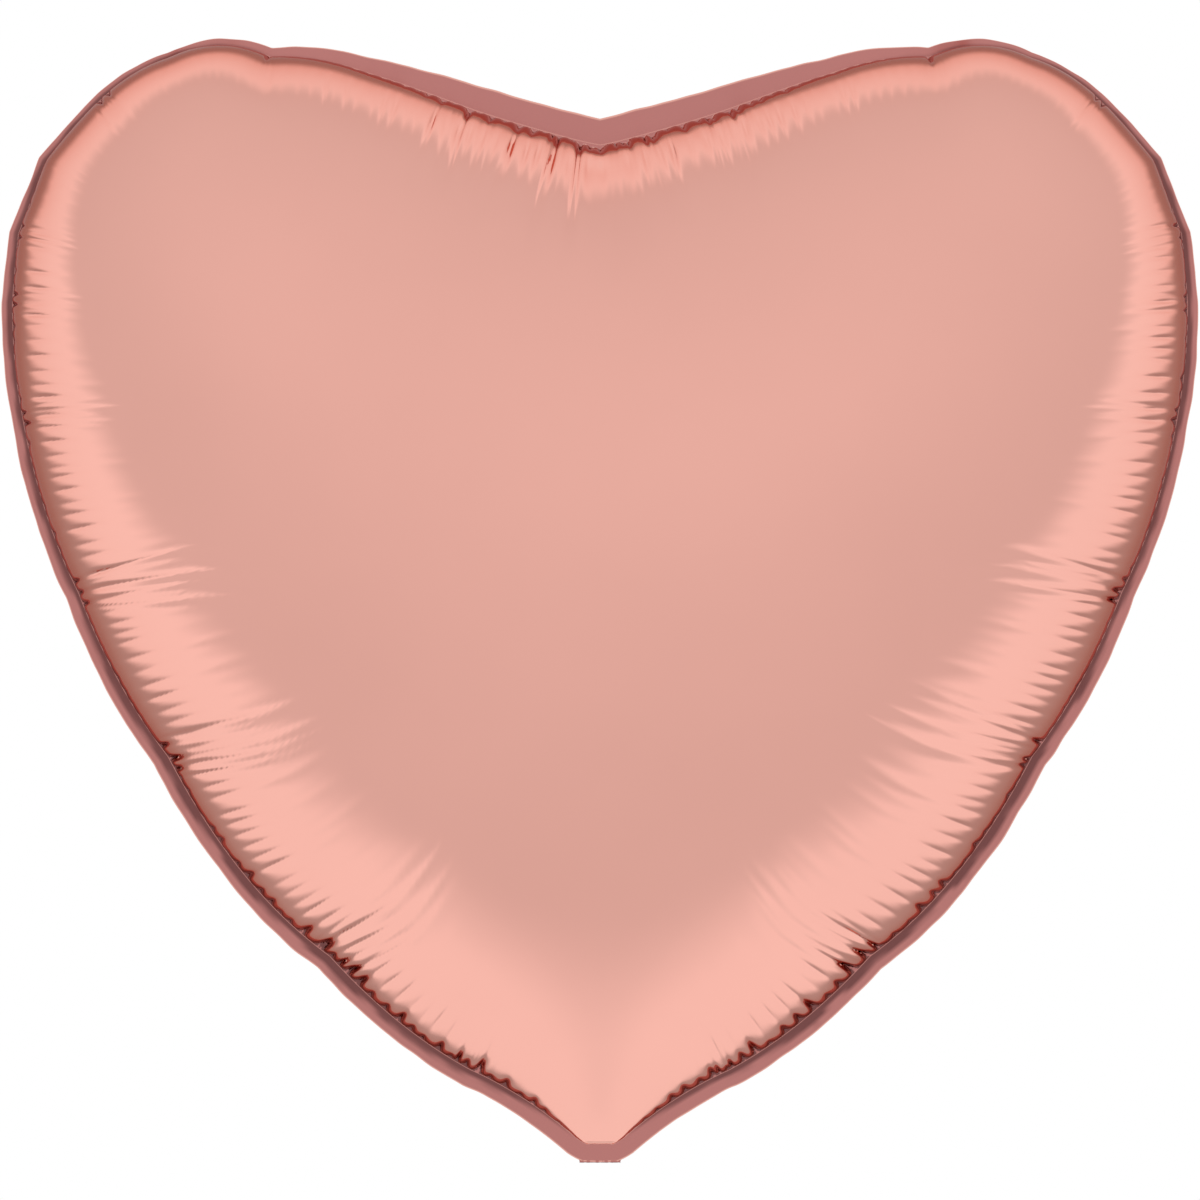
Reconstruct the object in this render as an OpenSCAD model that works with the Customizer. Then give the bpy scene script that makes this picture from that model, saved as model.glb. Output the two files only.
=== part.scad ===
// Heart-shaped foil balloon, inflated, with its fill tail folded up behind the tip.
// Frame: +Z up, front towards -Y, origin on the crease where the tail folds off the tip.

/* [Envelope] */
// Width of the inflated heart, over its welded rim
heart_w = 380; // [250:5:600]
// Height of the inflated heart, from its tip to the top of its lobes
heart_h = 358; // [240:1:560]
// Depth of the inflated heart, front to back
heart_d = 184; // [110:1:300]
// Thickness of the metallised film
film_t = 0.05; // [0.04:0.01:0.12]

/* [Seam] */
// Width of the flat rim where the two panels are welded
rim_w = 5.5; // [4:0.5:9]

/* [Valve] */
// Width of the self-sealing valve strips
valve_w = 27; // [24:1:34]
// Length of the valve strips above the crease
valve_len = 125; // [80:5:160]
// Thickness of one valve strip
valve_film_t = 0.04; // [0.03:0.01:0.06]
// Thickness of the print and of the welds between the two strips
valve_gap = 0.02; // [0.02:0.01:0.04]
// Width of the weld along each long edge of the strips
valve_edge_w = 3; // [2:0.5:4]
// Length of the release print that keeps the channel from welding shut
print_len = 45; // [20:1:60]

/* [Tail] */
// Width of the fill tail
tail_w = 21; // [18:1:26]
// Width of the tail where it creases off the tip
tail_root_w = 13; // [11:1:16]
// Length of the fill tail, from the crease
tail_len = 40; // [34:1:60]
// Width of the weld along each side of the tail
tail_edge_w = 3; // [2:0.5:4]
// Length of the fully welded tab at the tail's end
tab_len = 13; // [10:1:16]
// Radius of the punched hole that the ribbon ties through
tie_hole_r = 2; // [1.5:0.25:3]
// Radius of the punched hole that the filling nozzle enters
fill_hole_r = 4; // [3:0.25:5]
// Angle between the folded tail and the vertical
fold_angle = 46; // [40:1:80]

/* [Hidden] */

foil_colour = [0.91, 0.66, 0.60];
sealant_colour = [0.85, 0.80, 0.78];
print_colour = [0.55, 0.60, 0.66];

// Right half of the outline, from the cleft round to the tip. Each entry is a corner of the
// puckered rim, as shares of the half width and the height, then how far the stretch that
// follows bows outwards, as a share of its length, and into how many pieces it is cut.
CORNERS = [
    [0.000, 0.931, -0.004, 7],
    [0.385, 0.986, 0.025, 3],
    [0.547, 0.994, 0.060, 3],
    [0.720, 0.990, 0.035, 3],
    [0.838, 0.953, 0.015, 3],
    [0.935, 0.896, 0.000, 3],
    [0.984, 0.830, 0.010, 3],
    [0.997, 0.767, 0.045, 4],
    [0.981, 0.662, 0.055, 6],
    [0.890, 0.503, 0.045, 6],
    [0.743, 0.354, 0.055, 8],
    [0.469, 0.172, 0.032, 6],
    [0.228, 0.068, -0.025, 5],
    [0.055, 0.008, 0.120, 2],
    [0.000, 0.000, 0.000, 0]
];

weld_t = 2 * valve_film_t + valve_gap;  // the strips pass through the seam, so they set its thickness
crease_gap = 0.6;                       // bare film between the rim's end and the tail's start
half_w = heart_w / 2;
rim_h = heart_h - crease_gap;
panel_y = weld_t / 2;
dome_d = heart_d / 2 - panel_y - film_t;
core = [0, 0.60 * heart_h];             // the point that every spoke of the dome runs to
spoke_pull = 0.30 * heart_w;            // how far a spoke runs square to the rim before it turns
tip_slope = 0.87;                       // distance to the sides over height, just above the tip
wide_half = 0.40 * heart_w;             // half the clear width in the lobes
DOME_STEPS = [0.004, 0.016, 0.04, 0.08, 0.14, 0.22, 0.32, 0.44, 0.57, 0.71, 0.86];
cut = 1;                                // how far a cutting solid runs past what it cuts
hole_fn = 48;

// ---- Outline ----
function corner(k) = [CORNERS[k][0] * half_w, CORNERS[k][1] * rim_h + crease_gap];

// A point on the bowed stretch from a to b, at share s of its length.
function bowed(a, b, bow, s) =
    let (along = b - a, out = [-along[1], along[0]])
    a + along * s + out * bow * 4 * s * (1 - s);

right_half = [for (k = [0 : len(CORNERS) - 2]) for (i = [0 : CORNERS[k][3] - 1])
    bowed(corner(k), corner(k + 1), CORNERS[k][2], i / CORNERS[k][3])];
left_half = [for (i = [len(right_half) - 1 : -1 : 1]) [-right_half[i][0], right_half[i][1]]];
rim = concat(right_half, [corner(len(CORNERS) - 1)], left_half);
spokes = len(rim);
tip = len(right_half);

function wrap(j) = (j + spokes) % spokes;
function unit(v) = v / norm(v);
function inward(j) = let (t = unit(rim[wrap(j + 1)] - rim[wrap(j - 1)])) [t[1], -t[0]];
function rim_inset(d) = [for (j = [0 : spokes - 1]) rim[j] + inward(j) * d];
root = rim_inset(rim_w);

// ---- Dome ----
// How far spoke j runs square to the rim: less near the tip, where it would meet the middle line.
function pull(j) = let (n = inward(j), x = root[j][0])
    j == tip ? pull(j - 1) : n[0] * x >= 0 ? spoke_pull : min(spoke_pull, 0.55 * abs(x / n[0]));

function spoke_point(j, s) =
    let (a = root[j], b = a + inward(j) * pull(j))
    a * pow(1 - s, 2) + b * 2 * s * (1 - s) + core * pow(s, 2);

// The line integral of 1/r^2 along the stretch a to b, as seen from p.
function closeness(p, a, b) =
    let (u = a - p, v = b - p, area = abs(u[0] * v[1] - u[1] * v[0]))
    area < 0.0001 ? norm(b - a) / (norm(u) * norm(v))
                  : atan2(area, u * v) * PI / 180 * norm(b - a) / area;

function total(v, i = 0, sum = 0) = i == len(v) ? sum : total(v, i + 1, sum + v[i]);
function tanh(x) = (exp(2 * x) - 1) / (exp(2 * x) + 1);
function clear_half(z) = wide_half * tanh(tip_slope * max(z, 1) / wide_half);

// Height of a taut skin over p, before it is scaled to the balloon's depth. It is an ellipsoid
// over a disc, a half round over a strip and a cone over the tip.
function swell(p) = sqrt(clear_half(p[1] - root_low) /
    total([for (k = [0 : spokes - 1]) closeness(p, root[k], root[wrap(k + 1)])]));

root_low = min([for (p = root) p[1]]);
plan = [for (s = DOME_STEPS) [for (j = [0 : spokes - 1]) spoke_point(j, s)]];
heights = [for (ring = plan) [for (p = ring) swell(p)]];
core_height = swell(core);
highest = max(concat([core_height], [for (ring = heights) max(ring)]));

function in_space(p, h) = [p[0], -panel_y - dome_d * h / highest, p[1]];

rings = concat(
    [[for (p = rim) in_space(p, 0)], [for (p = root) in_space(p, 0)]],
    [for (i = [0 : len(plan) - 1]) [for (j = [0 : spokes - 1]) in_space(plan[i][j], heights[i][j])]]);
crown = in_space(core, core_height);
last = len(rings) - 1;

function outward(i, j) = i == 0 ? [0, -1, 0] :
    let (across = rings[i][wrap(j + 1)] - rings[i][wrap(j - 1)],
         up = (i == last ? crown : rings[i + 1][j]) - rings[i - 1][j])
    unit(cross(up, across));

outer_rings = [for (i = [0 : last]) [for (j = [0 : spokes - 1])
    rings[i][j] + outward(i, j) * film_t]];

function flat_list(rows) = [for (row = rows) each row];

// Faces between the rings from first point number `base`, then a fan to the point `middle`.
function skin(base, middle) = concat(
    [for (i = [0 : last - 1]) for (j = [0 : spokes - 1])
        let (a = base + i * spokes + j, b = base + i * spokes + wrap(j + 1))
        each [[a, b, b + spokes], [a, b + spokes, a + spokes]]],
    [for (j = [0 : spokes - 1])
        [base + last * spokes + j, base + last * spokes + wrap(j + 1), middle]]);
function turned(faces) = [for (f = faces) [f[2], f[1], f[0]]];

module front_shell() {
    n = (last + 1) * spokes;
    edge = [for (j = [0 : spokes - 1]) let (a = j, b = wrap(j + 1))
        each [[a, a + n, b + n], [a, b + n, b]]];
    polyhedron(
        points = concat(flat_list(rings), flat_list(outer_rings),
                        [crown, crown + [0, -film_t, 0]]),
        faces = concat(turned(skin(0, 2 * n)), skin(n, 2 * n + 1), turned(edge)),
        convexity = 6);
}

module front_panel() color(foil_colour) front_shell();

module back_panel() color(foil_colour) mirror([0, 1, 0]) front_shell();

// A flat outline in the XZ plane, given thickness t about y.
module flat_film(y, t) translate([0, y + t / 2, 0]) rotate([90, 0, 0]) linear_extrude(t) children();

// The fused sealant between the two rims, left open where the valve passes through it.
module seam_weld() color(sealant_colour) flat_film(0, weld_t) difference() {
    polygon(rim);
    polygon(root);
    translate([-valve_w / 2, 0]) square([valve_w, heart_h / 3]);
}

// ---- Valve ----
// The strips start inside the rim's end and are trimmed to the outline of the tip.
module valve_outline() intersection() {
    translate([-valve_w / 2, crease_gap]) square([valve_w, valve_len]);
    polygon(rim);
}

module valve_front_film() color(sealant_colour, 0.5)
    flat_film(-(valve_gap + valve_film_t) / 2, valve_film_t) valve_outline();

module valve_back_film() color(sealant_colour, 0.5)
    flat_film((valve_gap + valve_film_t) / 2, valve_film_t) valve_outline();

module valve_edge_welds() color(sealant_colour) flat_film(0, valve_gap) difference() {
    valve_outline();
    translate([valve_edge_w - valve_w / 2, 0])
        square([valve_w - 2 * valve_edge_w, valve_len + 2 * crease_gap]);
}

// The print lies in the lower part of the channel, across the place where the seam is welded.
module valve_release_print() color(print_colour) flat_film(0, valve_gap) intersection() {
    valve_outline();
    translate([valve_edge_w - valve_w / 2, crease_gap])
        square([valve_w - 2 * valve_edge_w, print_len]);
}

// ---- Tail ----
tie_hole_at = tail_len - tab_len / 2;             // both along the tail, from the crease
fill_hole_at = tail_len - tab_len - 2 - fill_hole_r;
tail_corner_r = tail_w / 5;

// The tail hanging straight down from the crease, drawn with its length along +Z.
module tail_outline() hull() {
    translate([-tail_root_w / 2, crease_gap]) square([tail_root_w, 0.1]);
    for (side = [-1, 1]) {
        translate([side * (tail_w / 2 - tail_corner_r), tail_w / 2]) circle(tail_corner_r, $fn = 48);
        translate([side * (tail_w / 2 - tail_corner_r), tail_len - tail_corner_r])
            circle(tail_corner_r, $fn = 48);
    }
}

module folded() rotate([-fold_angle, 0, 0]) children();

module punched(radius, at) difference() {
    children();
    translate([0, 0, at]) rotate([90, 0, 0]) cylinder(r = radius, h = 2 * cut, center = true, $fn = hole_fn);
}

module tail_front_film() color(foil_colour) folded() punched(tie_hole_r, tie_hole_at)
    flat_film(-(weld_t + film_t) / 2, film_t) tail_outline();

module tail_back_film() color(foil_colour) folded()
    punched(tie_hole_r, tie_hole_at) punched(fill_hole_r, fill_hole_at)
        flat_film((weld_t + film_t) / 2, film_t) tail_outline();

// Sealant down both sides of the channel and all over the end tab.
module tail_weld() color(sealant_colour) folded() punched(tie_hole_r, tie_hole_at)
    flat_film(0, weld_t) difference() {
        tail_outline();
        translate([tail_edge_w - tail_w / 2, 0])
            square([tail_w - 2 * tail_edge_w, tail_len - tab_len]);
    }

front_panel();
back_panel();
seam_weld();
valve_front_film();
valve_back_film();
valve_edge_welds();
valve_release_print();
tail_front_film();
tail_back_film();
tail_weld();
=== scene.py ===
import math

import bmesh
import bpy
import numpy as np
from bpy.props import FloatProperty, FloatVectorProperty, IntProperty, PointerProperty
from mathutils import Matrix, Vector


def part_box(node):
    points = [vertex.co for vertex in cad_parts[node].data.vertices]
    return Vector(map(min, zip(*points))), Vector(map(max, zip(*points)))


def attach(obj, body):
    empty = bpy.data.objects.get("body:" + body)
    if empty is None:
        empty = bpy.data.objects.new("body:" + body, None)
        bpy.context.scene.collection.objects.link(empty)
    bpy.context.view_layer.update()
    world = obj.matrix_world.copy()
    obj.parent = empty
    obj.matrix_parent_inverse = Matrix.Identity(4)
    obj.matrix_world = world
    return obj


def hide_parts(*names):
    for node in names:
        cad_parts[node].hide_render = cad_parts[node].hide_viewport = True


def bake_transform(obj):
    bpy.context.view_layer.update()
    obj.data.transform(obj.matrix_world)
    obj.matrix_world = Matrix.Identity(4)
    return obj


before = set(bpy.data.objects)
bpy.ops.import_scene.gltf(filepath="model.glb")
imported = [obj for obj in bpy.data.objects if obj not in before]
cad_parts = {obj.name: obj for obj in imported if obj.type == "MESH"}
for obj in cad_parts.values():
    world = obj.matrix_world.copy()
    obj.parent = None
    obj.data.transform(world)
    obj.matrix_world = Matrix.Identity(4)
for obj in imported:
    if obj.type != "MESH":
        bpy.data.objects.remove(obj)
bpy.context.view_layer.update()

bl_info = {
    "name": "Heart Foil Balloon",
    "version": (1, 0, 0),
    "blender": (4, 5, 0),
    "location": "View3D > Sidebar > Foil Balloon",
    "description": "Builds an inflated heart-shaped foil balloon around its packed frame",
    "category": "Add Mesh",
}

MM = 0.001
PANEL_LOW, PANEL_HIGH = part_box("front_panel")
_, SEAM_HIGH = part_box("seam_weld")
_, VALVE_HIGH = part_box("valve_front_film")
_, TAIL_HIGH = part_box("tail_weld")


def linear(hex_colour):
    """An sRGB hex colour as the linear RGBA that shader sockets take."""
    channels = [int(hex_colour[i : i + 2], 16) / 255 for i in (1, 3, 5)]
    light = (c / 12.92 if c <= 0.04045 else ((c + 0.055) / 1.055) ** 2.4 for c in channels)
    return (*light, 1.0)


def smooth_step(values):
    """Eases from 0 to 1 while the values go from 0 to 1, and is level outside."""
    share = np.clip(values, 0, 1)
    return share * share * (3 - 2 * share)


# ---- Sizes and colours that a user would change ----


class BalloonSizes(bpy.types.PropertyGroup):
    rim_width: FloatProperty(
        name="Rim width",
        description="Width of the flat rim where the two films are welded",
        default=5.5 * MM,
        unit="LENGTH",
    )
    pucker_pitch: FloatProperty(
        name="Pucker pitch",
        description="Mean distance along the rim from one pucker to the next",
        default=4.5 * MM,
        unit="LENGTH",
    )
    pucker_strength: FloatProperty(
        name="Pucker strength",
        description="How deep the puckers are, as a share of their usual depth",
        default=1.0,
        subtype="FACTOR",
    )
    spokes: IntProperty(
        name="Spokes",
        description="Number of mesh columns round the rim",
        default=2560,
    )
    film_thickness: FloatProperty(
        name="Film thickness",
        description="Thickness of the metallised film",
        default=0.05 * MM,
        unit="LENGTH",
    )


class BalloonColours(bpy.types.PropertyGroup):
    foil: FloatVectorProperty(
        name="Foil",
        description="Tint of the metallised film",
        default=linear("#F3B4A6"),
        size=4,
        subtype="COLOR",
    )
    weld: FloatVectorProperty(
        name="Welded foil",
        description="Tint of the film where the heat seal has dulled its metal",
        default=linear("#C5817C"),
        size=4,
        subtype="COLOR",
    )
    # Painted shade: the dark line that stands in for the shade in the crevice along the seam.
    painted_shade_tint: FloatVectorProperty(
        name="Painted seam shade",
        description="Tint of the painted shade along the inner edge of the heat seal, for the crevice there",
        default=linear("#80504E"),
        size=4,
        subtype="COLOR",
    )
    polyethylene: FloatVectorProperty(
        name="Polyethylene",
        description="Tint of the valve film and the fused sealant",
        default=linear("#E4E2DE"),
        size=4,
        subtype="COLOR",
    )
    release_print: FloatVectorProperty(
        name="Release print",
        description="Tint of the printed patch inside the valve",
        default=linear("#8D99A8"),
        size=4,
        subtype="COLOR",
    )
    floor: FloatVectorProperty(
        name="Floor",
        description="Tint of the studio floor",
        default=linear("#F4F2F0"),
        size=4,
        subtype="COLOR",
    )


# ---- The heart's outline ----

# Right half of the outline, from the cleft round to the tip. Each row is a corner of the
# puckered rim, with the film there:
#   its place, as shares of the half width and the height
#   how far the stretch that follows bows outwards, as a share of its length
#   how much of the rim shows flat, as a share of the rim's width
#   how far the streaks reach in from the seam, and how deep they are, in mm
#   how far a pucker's fold holds the film back near the seam, in mm
#   how far a fold notches the line where the film lifts off, in mm
#   thickness of the dark line of painted shade along the seam's crevice, in mm
#   how far a pucker leans towards the tip, for each mm inwards
#   distance from one pucker to the next, as a share of the usual pitch
CORNERS = (
    (0.000, 0.931, -0.004, 1.55, 36, 0.95, 1.9, 2.4, 0.0, 0.00, 1.1),
    (0.200, 0.960, 0.005, 1.45, 30, 0.45, 1.6, 1.7, 0.0, 0.00, 0.9),
    (0.385, 0.986, 0.025, 0.90, 20, 0.14, 1.0, 0.5, 0.0, 0.00, 0.9),
    (0.547, 0.994, 0.060, 0.50, 14, 0.05, 0.4, 0.1, 0.2, 0.00, 1.0),
    (0.720, 0.990, 0.035, 0.32, 10, 0.02, 0.2, 0.1, 0.5, 0.00, 1.0),
    (0.838, 0.953, 0.015, 0.38, 12, 0.02, 0.15, 0.2, 0.8, 0.00, 1.0),
    (0.935, 0.896, 0.000, 0.47, 16, 0.02, 0.2, 0.5, 1.1, 0.00, 1.0),
    (0.984, 0.830, 0.010, 0.52, 26, 0.10, 0.6, 1.0, 1.3, 0.00, 1.0),
    (0.997, 0.767, 0.045, 0.62, 36, 0.24, 1.2, 1.0, 1.4, 0.08, 1.0),
    (0.981, 0.662, 0.055, 0.66, 42, 0.24, 1.3, 1.1, 1.3, 0.18, 1.0),
    (0.890, 0.503, 0.045, 0.78, 46, 0.30, 0.95, 0.8, 1.5, 0.22, 1.0),
    (0.743, 0.354, 0.055, 0.94, 52, 0.50, 0.9, 0.5, 2.1, 0.34, 1.1),
    (0.469, 0.172, 0.032, 0.98, 50, 0.55, 1.2, 3.0, 2.3, 0.36, 1.3),
    (0.228, 0.068, -0.025, 1.00, 30, 0.26, 0.8, 3.4, 1.8, 0.05, 1.2),
    (0.055, 0.008, 0.020, 1.00, 6, 0.0, 0.0, 0.0, 0.0, 0.00, 1.0),
    (0.029, 0.0005, 0.000, 1.00, 5, 0.0, 0.0, 0.0, 0.0, 0.00, 1.0),
    (0.000, 0.000, 0.000, 1.00, 4, 0.0, 0.0, 0.0, 0.0, 0.00, 1.0),
)
FLAT, REACH, STREAK, FOLD, NOTCH, SHADE_LINE, LEAN, SPACING = range(3, 11)
STEPS_PER_STRETCH = 40

# Lengths of rim, in mm, over which these are averaged:
EDGE_SMOOTHING = 4.0     # the way inwards, across the flat rim
FLAT_SMOOTHING = 6.0     # the rim's flat width
STEER_SMOOTHING = 9.0    # the way in which the dome's spokes set off


class Outline:
    """The rim's edge as evenly spaced points, clockwise from the cleft as seen from the front,
    in mm in the XZ plane, with the distance along the rim of each point and each corner."""

    def __init__(self, spokes):
        corners = np.array([row[:2] for row in CORNERS])
        right, feet = [], []
        for k in range(len(CORNERS) - 1):
            start, end = corners[k], corners[k + 1]
            along = end - start
            out = np.array([-along[1], along[0]])
            share = np.arange(STEPS_PER_STRETCH) / STEPS_PER_STRETCH
            bow = CORNERS[k][2] * 4 * share * (1 - share)
            feet.append(len(right))
            right.extend(start + np.outer(share, along) + np.outer(bow, out))
        feet.append(len(right))
        right = np.array(right + [corners[-1]])
        closed = np.concatenate([right, right[-2::-1] * [-1, 1]])
        closed = self._fitted(closed)
        run = np.concatenate([[0], np.cumsum(np.linalg.norm(np.diff(closed, axis=0), axis=1))])
        self.length = run[-1]
        self.run = np.arange(spokes) * self.length / spokes
        self.points = np.stack([np.interp(self.run, run, closed[:, i]) for i in (0, 1)], axis=1)
        self.corner_run = run[feet]
        self.spokes = spokes

    @staticmethod
    def _fitted(points):
        """Scales the shares to the frame's own panel, in mm."""
        low = np.array([PANEL_LOW[0], PANEL_LOW[2]]) / MM
        high = np.array([PANEL_HIGH[0], PANEL_HIGH[2]]) / MM
        least, most = points.min(axis=0), points.max(axis=0)
        return low + (points - least) * (high - low) / (most - least)

    def per_corner(self, column):
        """A column of CORNERS, spread evenly over the rim between the corners of both halves."""
        values = [row[column] for row in CORNERS]
        places = np.concatenate([self.corner_run, self.length - self.corner_run[-2::-1]])
        return np.interp(self.run, places, values + values[-2::-1])

    def side_sign(self):
        """1 on the right half, where the rim runs towards the tip, and -1 on the left half."""
        return np.where(self.run < self.length / 2, 1.0, -1.0)

    def smooth(self, values, width):
        """Values round the rim, averaged with a bell curve of this width in mm."""
        wave = np.fft.rfftfreq(self.spokes, d=self.length / self.spokes)
        bell = np.exp(-2 * (math.pi * wave * width) ** 2)
        spread = bell if values.ndim == 1 else bell[:, None]
        return np.fft.irfft(np.fft.rfft(values, axis=0) * spread, n=self.spokes, axis=0)

    def inward(self, width):
        """Unit vectors square to the rim, towards the heart, smoothed over this width in mm."""
        along = np.roll(self.points, -1, axis=0) - np.roll(self.points, 1, axis=0)
        across = self.smooth(np.stack([along[:, 1], -along[:, 0]], axis=1), width)
        return across / np.linalg.norm(across, axis=1, keepdims=True)

    def noise(self, random, width, size):
        """Seeded unevenness round the rim: features about this wide, and this high on average."""
        rough = self.smooth(random.normal(size=self.spokes), width)
        return rough * size / rough.std()


# ---- The taut dome between the seams ----

CORE_HEIGHT = 0.60       # share of the heart's height at which the spokes of the dome meet
SPOKE_PULL = 0.30        # share of its width that a spoke runs square to the seam
MIDDLE_PULL = 0.55       # but no more than this share of the way to the heart's middle line
SPOKE_BEND = 0.21        # share of a spoke's length after which it runs straight to the core
TIP_SLOPE = 0.87         # distance to the sides over height, just above the tip
CLEAR_HALF = 0.40        # share of its width that is half the clear width in the lobes
SEAM_CHORDS = 512        # straight pieces that the seam is taken as


class Dome:
    """The film's plan, as spokes that run in from the seam, and its height over the seam."""

    def __init__(self, outline, rim_width):
        self.outline = outline
        width = (PANEL_HIGH[0] - PANEL_LOW[0]) / MM
        height = PANEL_HIGH[2] / MM
        self.core = np.array([0.0, CORE_HEIGHT * height])
        self.inward = outline.inward(EDGE_SMOOTHING)
        flat = outline.smooth(outline.per_corner(FLAT), FLAT_SMOOTHING) * rim_width
        self.root = outline.points + self.inward * flat[:, None]
        self.root_low = self.root[:, 1].min()
        self.clear_half = CLEAR_HALF * width
        steer = outline.inward(STEER_SMOOTHING)
        toward_middle = steer[:, 0] * self.root[:, 0] < 0
        to_middle = np.abs(self.root[:, 0] / np.where(toward_middle, steer[:, 0], 1.0))
        full_pull = SPOKE_PULL * width
        near_pull = np.minimum(MIDDLE_PULL * to_middle, full_pull)
        pull = np.where(toward_middle, near_pull, full_pull)
        tip = outline.spokes // 2
        pull[tip] = pull[tip - 1]
        self.pull = pull
        self.steer = steer
        chord_step = outline.spokes // SEAM_CHORDS
        self.chord_start = self.root[::chord_step]
        self.chord_end = np.roll(self.chord_start, -1, axis=0)

    def plan(self, share):
        """The point at this share of each spoke, from the seam to the core, in mm."""
        first = min(share, SPOKE_BEND)
        bend = self.root + self.steer * self.pull[:, None]
        place = self.root * (1 - first) ** 2 + bend * 2 * first * (1 - first)
        place = place + self.core * first**2
        return place + (self.core - place) * (share - first) / (1 - first)

    def swell(self, points):
        """Height of a taut skin over the points, before it is scaled to the balloon's depth."""
        start = self.chord_start[None] - points[:, None]
        end = self.chord_end[None] - points[:, None]
        area = np.abs(start[..., 0] * end[..., 1] - start[..., 1] * end[..., 0])
        angle = np.arctan2(area, (start * end).sum(axis=2))
        chord = np.linalg.norm(self.chord_end - self.chord_start, axis=1)
        closeness = (angle * chord / np.maximum(area, 1e-9)).sum(axis=1)
        above_tip = np.maximum(points[:, 1] - self.root_low, 1.0)
        clear = self.clear_half * np.tanh(TIP_SLOPE * above_tip / self.clear_half)
        return np.sqrt(clear / closeness)


# ---- Puckers and creases ----

STREAK_SHARE = 0.27      # half width of a streak, as a share of the pitch
FOLD_WIDTH = 0.6         # mm, half width of the fold at a pucker's root
NOTCH_WIDTH = 0.7        # mm, half width of the notch there
FOLD_CLEAR = 4.0         # mm in from the seam that the fine folds leave smooth
FOLD_START = 8.0         # mm further in, at which a fold is tightest
FOLD_REACH = 22.0        # mm in from the seam at which it has opened out
FOLD_LEAST = 0.05        # how tight it is within FOLD_CLEAR, as a share
VALLEY_FLARE = 0.5       # share by which a valley is wider at its reach than at the seam
VALLEY_SPAN = 5          # half widths from its middle at which it has faded out
# How steeply each kind of valley falls off to its sides.
FOLD_POWER, NOTCH_POWER, STREAK_POWER = 1.3, 1.0, 1.6


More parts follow.
